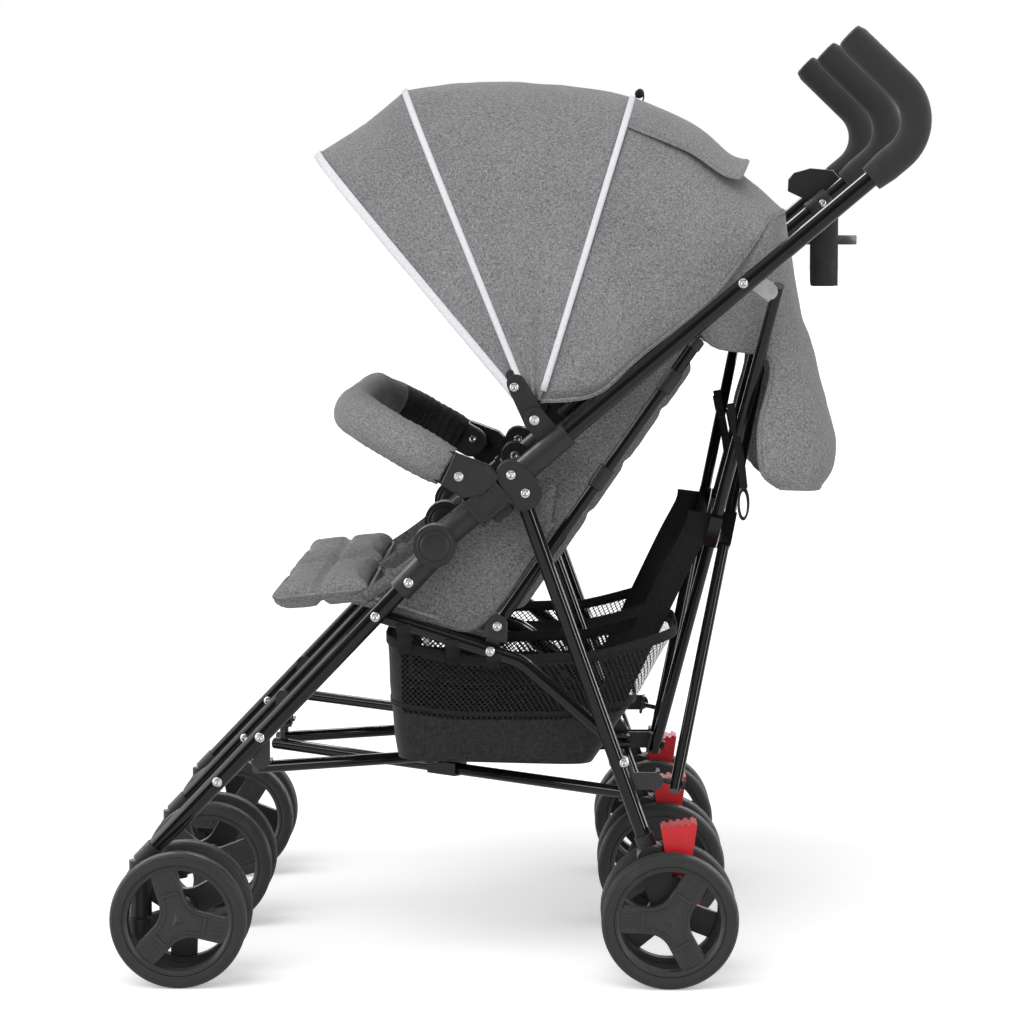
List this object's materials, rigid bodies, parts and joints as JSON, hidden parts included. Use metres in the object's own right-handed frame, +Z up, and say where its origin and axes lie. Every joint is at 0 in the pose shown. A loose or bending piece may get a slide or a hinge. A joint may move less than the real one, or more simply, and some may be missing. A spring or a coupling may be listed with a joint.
{
  "type": "twin umbrella stroller",
  "caption": "Side-by-side folding stroller with hooked foam grips, crossed folding bars, paired wheels, foot brakes, sling seats, tilting hoods, a bumper bar, baskets and a cup holder.",
  "frame": {"origin": "on the floor under the centre of the overall box", "axes": "+Z up; the children face -X; +Y towards the right-hand side frame"},
  "size_m": [0.9028, 0.79, 1.0614],
  "materials": {
    "frame_steel": "gloss black powder coat",
    "black_plastic": "satin moulded",
    "bright_steel": "zinc plated",
    "grip_foam": "matt foam",
    "tyre": "matt",
    "hub_plastic": "satin moulded",
    "red_plastic": "moulded",
    "grey_cloth": "heathered weave",
    "black_cloth": "woven and mesh"
  },
  "bodies": {
    "left_frame": {"handle_tube_left": "frame_steel", "grip_left": "grip_foam", "front_leg_left": "frame_steel", "rear_leg_left": "frame_steel", "frame_fittings_left": "black_plastic", "steel_brackets_left": "bright_steel"},
    "middle_frame": {"handle_tube_middle": "frame_steel", "grip_middle": "grip_foam", "front_leg_middle": "frame_steel", "rear_leg_middle": "frame_steel", "frame_fittings_middle": "black_plastic", "steel_brackets_middle": "bright_steel", "seat_left": "grey_cloth", "seat_right": "grey_cloth", "hood_back_left": "grey_cloth", "hood_back_right": "grey_cloth", "baskets": "black_cloth", "cup_holder": "black_plastic"},
    "right_frame": {"handle_tube_right": "frame_steel", "grip_right": "grip_foam", "front_leg_right": "frame_steel", "rear_leg_right": "frame_steel", "frame_fittings_right": "black_plastic", "steel_brackets_right": "bright_steel"},
    "rear_cross_left_inner": {"rear_cross_left_inner": "frame_steel"},
    "rear_cross_left_outer": {"rear_cross_left_outer": "frame_steel"},
    "rear_cross_right_inner": {"rear_cross_right_inner": "frame_steel"},
    "rear_cross_right_outer": {"rear_cross_right_outer": "frame_steel"},
    "floor_cross_left_inner": {"floor_cross_left_inner": "frame_steel"},
    "floor_cross_left_outer": {"floor_cross_left_outer": "frame_steel"},
    "floor_cross_right_inner": {"floor_cross_right_inner": "frame_steel"},
    "floor_cross_right_outer": {"floor_cross_right_outer": "frame_steel"},
    "castor_left": {"castor_fork_left": "black_plastic"},
    "front_wheels_left": {"front_tyres_left": "tyre", "front_hubs_left": "hub_plastic"},
    "rear_wheels_left": {"rear_tyres_left": "tyre", "rear_hubs_left": "hub_plastic"},
    "brake_left": {"brake_pedal_left": "red_plastic"},
    "castor_middle": {"castor_fork_middle": "black_plastic"},
    "front_wheels_middle": {"front_tyres_middle": "tyre", "front_hubs_middle": "hub_plastic"},
    "rear_wheels_middle": {"rear_tyres_middle": "tyre", "rear_hubs_middle": "hub_plastic"},
    "brake_middle": {"brake_pedal_middle": "red_plastic"},
    "castor_right": {"castor_fork_right": "black_plastic"},
    "front_wheels_right": {"front_tyres_right": "tyre", "front_hubs_right": "hub_plastic"},
    "rear_wheels_right": {"rear_tyres_right": "tyre", "rear_hubs_right": "hub_plastic"},
    "brake_right": {"brake_pedal_right": "red_plastic"},
    "backrest_left": {"backrest_left": "grey_cloth", "backrest_frame_left": "frame_steel"},
    "calf_rest_left": {"calf_rest_left": "grey_cloth"},
    "hood_left": {"hood_left": "grey_cloth"},
    "backrest_right": {"backrest_right": "grey_cloth", "backrest_frame_right": "frame_steel"},
    "calf_rest_right": {"calf_rest_right": "grey_cloth"},
    "hood_right": {"hood_right": "grey_cloth"},
    "bumper_bar": {"bumper_bar": "grey_cloth"}
  },
  "joints": [
    {"name": "fold", "type": "slide", "parent": "middle_frame", "child": "left_frame", "axis": [0, 1, 0], "range_m": [0, 0.22], "deforming": ["seat_left", "seat_right", "hood_back_left", "hood_back_right", "hood_left", "hood_right", "backrest_left", "backrest_right", "backrest_frame_left", "backrest_frame_right", "calf_rest_left", "calf_rest_right", "bumper_bar", "baskets"]},
    {"name": "fold_right", "type": "slide", "parent": "middle_frame", "child": "right_frame", "axis": [0, -1, 0], "range_m": [0, 0.22]},
    {"name": "rear_cross_left_inner_turn", "type": "hinge", "parent": "middle_frame", "child": "rear_cross_left_inner", "pos_m": [0.15161, -0.03, 0.224], "axis": [0.975, 0, -0.2222], "range_deg": [-21.6, 0]},
    {"name": "rear_cross_left_outer_turn", "type": "hinge", "parent": "left_frame", "child": "rear_cross_left_outer", "pos_m": [0.15161, -0.315, 0.224], "axis": [0.975, 0, -0.2222], "range_deg": [0, 21.6]},
    {"name": "rear_cross_right_inner_turn", "type": "hinge", "parent": "middle_frame", "child": "rear_cross_right_inner", "pos_m": [0.15161, 0.03, 0.224], "axis": [0.975, 0, -0.2222], "range_deg": [0, 21.6]},
    {"name": "rear_cross_right_outer_turn", "type": "hinge", "parent": "right_frame", "child": "rear_cross_right_outer", "pos_m": [0.15161, 0.315, 0.224], "axis": [0.975, 0, -0.2222], "range_deg": [-21.6, 0]},
    {"name": "floor_cross_left_inner_turn", "type": "hinge", "parent": "middle_frame", "child": "floor_cross_left_inner", "pos_m": [0.11822, -0.03, 0.233], "axis": [0.032, 0, 0.9995], "range_deg": [-28.1, 0]},
    {"name": "floor_cross_left_outer_turn", "type": "hinge", "parent": "left_frame", "child": "floor_cross_left_outer", "pos_m": [0.11822, -0.315, 0.233], "axis": [0.032, 0, 0.9995], "range_deg": [0, 28.1]},
    {"name": "floor_cross_right_inner_turn", "type": "hinge", "parent": "middle_frame", "child": "floor_cross_right_inner", "pos_m": [0.11822, 0.03, 0.233], "axis": [0.032, 0, 0.9995], "range_deg": [0, 28.1]},
    {"name": "floor_cross_right_outer_turn", "type": "hinge", "parent": "right_frame", "child": "floor_cross_right_outer", "pos_m": [0.11822, 0.315, 0.233], "axis": [0.032, 0, 0.9995], "range_deg": [-28.1, 0]},
    {"name": "castor_left_swivel", "type": "hinge", "parent": "left_frame", "child": "castor_left", "pos_m": [-0.42139, -0.345, 0.1], "axis": [0, 0, 1], "continuous": true},
    {"name": "front_wheels_left_spin", "type": "hinge", "parent": "castor_left", "child": "front_wheels_left", "pos_m": [-0.37539, -0.345, 0.076], "axis": [0, 1, 0], "continuous": true},
    {"name": "rear_wheels_left_spin", "type": "hinge", "parent": "left_frame", "child": "rear_wheels_left", "pos_m": [0.16761, -0.345, 0.076], "axis": [0, 1, 0], "continuous": true},
    {"name": "brake_left_press", "type": "hinge", "parent": "left_frame", "child": "brake_left", "pos_m": [0.17461, -0.345, 0.114], "axis": [0, 1, 0], "range_deg": [0, 16]},
    {"name": "castor_middle_swivel", "type": "hinge", "parent": "middle_frame", "child": "castor_middle", "pos_m": [-0.42139, 0, 0.1], "axis": [0, 0, 1], "continuous": true},
    {"name": "front_wheels_middle_spin", "type": "hinge", "parent": "castor_middle", "child": "front_wheels_middle", "pos_m": [-0.37539, 0, 0.076], "axis": [0, 1, 0], "continuous": true},
    {"name": "rear_wheels_middle_spin", "type": "hinge", "parent": "middle_frame", "child": "rear_wheels_middle", "pos_m": [0.16761, 0, 0.076], "axis": [0, 1, 0], "continuous": true},
    {"name": "brake_middle_press", "type": "hinge", "parent": "middle_frame", "child": "brake_middle", "pos_m": [0.17461, 0, 0.114], "axis": [0, 1, 0], "range_deg": [0, 16]},
    {"name": "castor_right_swivel", "type": "hinge", "parent": "right_frame", "child": "castor_right", "pos_m": [-0.42139, 0.345, 0.1], "axis": [0, 0, 1], "continuous": true},
    {"name": "front_wheels_right_spin", "type": "hinge", "parent": "castor_right", "child": "front_wheels_right", "pos_m": [-0.37539, 0.345, 0.076], "axis": [0, 1, 0], "continuous": true},
    {"name": "rear_wheels_right_spin", "type": "hinge", "parent": "right_frame", "child": "rear_wheels_right", "pos_m": [0.16761, 0.345, 0.076], "axis": [0, 1, 0], "continuous": true},
    {"name": "brake_right_press", "type": "hinge", "parent": "right_frame", "child": "brake_right", "pos_m": [0.17461, 0.345, 0.114], "axis": [0, 1, 0], "range_deg": [0, 16]},
    {"name": "recline_left", "type": "hinge", "parent": "middle_frame", "child": "backrest_left", "pos_m": [-0.02379, -0.1725, 0.39592], "axis": [0, 1, 0], "range_deg": [-20, 5]},
    {"name": "calf_rest_left_tilt", "type": "hinge", "parent": "middle_frame", "child": "calf_rest_left", "pos_m": [-0.17425, -0.1725, 0.42292], "axis": [0, 1, 0], "range_deg": [-75, 0]},
    {"name": "hood_left_tilt", "type": "hinge", "parent": "middle_frame", "child": "hood_left", "pos_m": [0.01761, -0.1725, 0.627], "axis": [0, 1, 0], "range_deg": [0, 34]},
    {"name": "recline_right", "type": "hinge", "parent": "middle_frame", "child": "backrest_right", "pos_m": [-0.02379, 0.1725, 0.39592], "axis": [0, 1, 0], "range_deg": [-20, 5]},
    {"name": "calf_rest_right_tilt", "type": "hinge", "parent": "middle_frame", "child": "calf_rest_right", "pos_m": [-0.17425, 0.1725, 0.42292], "axis": [0, 1, 0], "range_deg": [-75, 0]},
    {"name": "hood_right_tilt", "type": "hinge", "parent": "middle_frame", "child": "hood_right", "pos_m": [0.01761, 0.1725, 0.627], "axis": [0, 1, 0], "range_deg": [0, 34]},
    {"name": "bumper_bar_swing", "type": "hinge", "parent": "middle_frame", "child": "bumper_bar", "pos_m": [-0.06739, 0, 0.565], "axis": [0, 1, 0], "range_deg": [0, 50]}
  ],
  "couplings": [
    {"joint": "fold_right", "follows": "fold", "ratio": 1},
    {"joint": "rear_cross_left_inner_turn", "follows": "fold", "rad_per_m": -1.6742},
    {"joint": "rear_cross_left_outer_turn", "follows": "fold", "rad_per_m": 1.6742},
    {"joint": "rear_cross_right_inner_turn", "follows": "fold", "rad_per_m": 1.6742},
    {"joint": "rear_cross_right_outer_turn", "follows": "fold", "rad_per_m": -1.6742},
    {"joint": "floor_cross_left_inner_turn", "follows": "fold", "rad_per_m": -2.1893},
    {"joint": "floor_cross_left_outer_turn", "follows": "fold", "rad_per_m": 2.1893},
    {"joint": "floor_cross_right_inner_turn", "follows": "fold", "rad_per_m": 2.1893},
    {"joint": "floor_cross_right_outer_turn", "follows": "fold", "rad_per_m": -2.1893}
  ]
}
